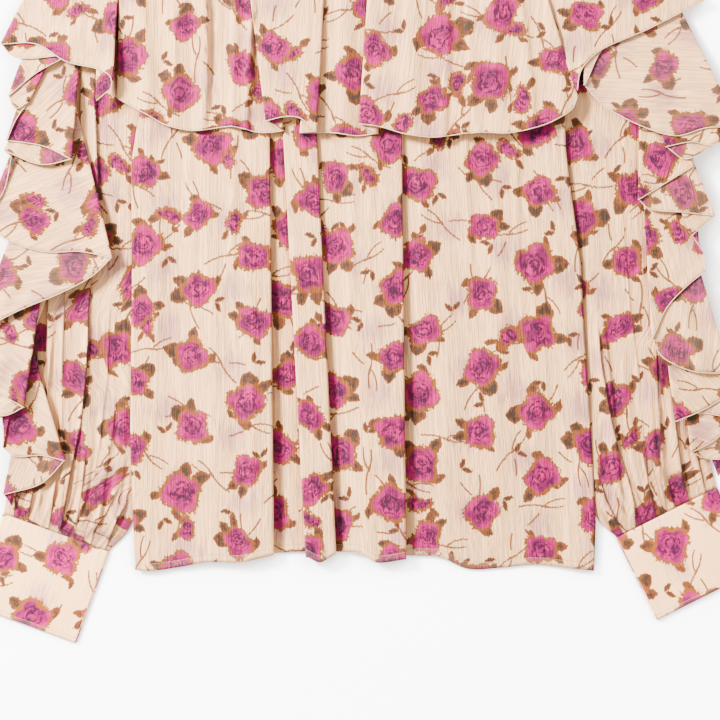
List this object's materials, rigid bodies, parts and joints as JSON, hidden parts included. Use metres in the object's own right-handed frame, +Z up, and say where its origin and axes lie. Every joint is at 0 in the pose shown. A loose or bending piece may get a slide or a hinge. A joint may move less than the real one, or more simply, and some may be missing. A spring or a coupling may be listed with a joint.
{
  "type": "ruffled blouse laid flat",
  "caption": "Sheer printed blouse laid flat, with a gathered chest flounce, cascading sleeve flounces and deep cuffs.",
  "frame": {"origin": "middle of the blouse's outline, on the surface that it lies on", "axes": "+X to the right as seen from above, +Y from the hem to the neck, +Z up from the surface"},
  "size_m": [0.7895, 0.7283, 0.0196],
  "materials": {
    "crinkle_chiffon": "sheer crinkled chiffon, cream, printed with pink roses and orange-brown leaves",
    "flounce_chiffon": "the same printed chiffon, single, with a narrow off-white rolled edge",
    "cuff_cloth": "the same print on doubled, smoother cloth"
  },
  "bodies": {
    "root": {"back": "crinkle_chiffon", "front_yoke": "crinkle_chiffon", "front": "crinkle_chiffon", "chest_flounce": "flounce_chiffon", "sleeve_left": "crinkle_chiffon", "sleeve_right": "crinkle_chiffon", "cuff_left": "cuff_cloth", "cuff_right": "cuff_cloth", "sleeve_flounce_left": "flounce_chiffon", "sleeve_flounce_right": "flounce_chiffon"}
  },
  "joints": []
}
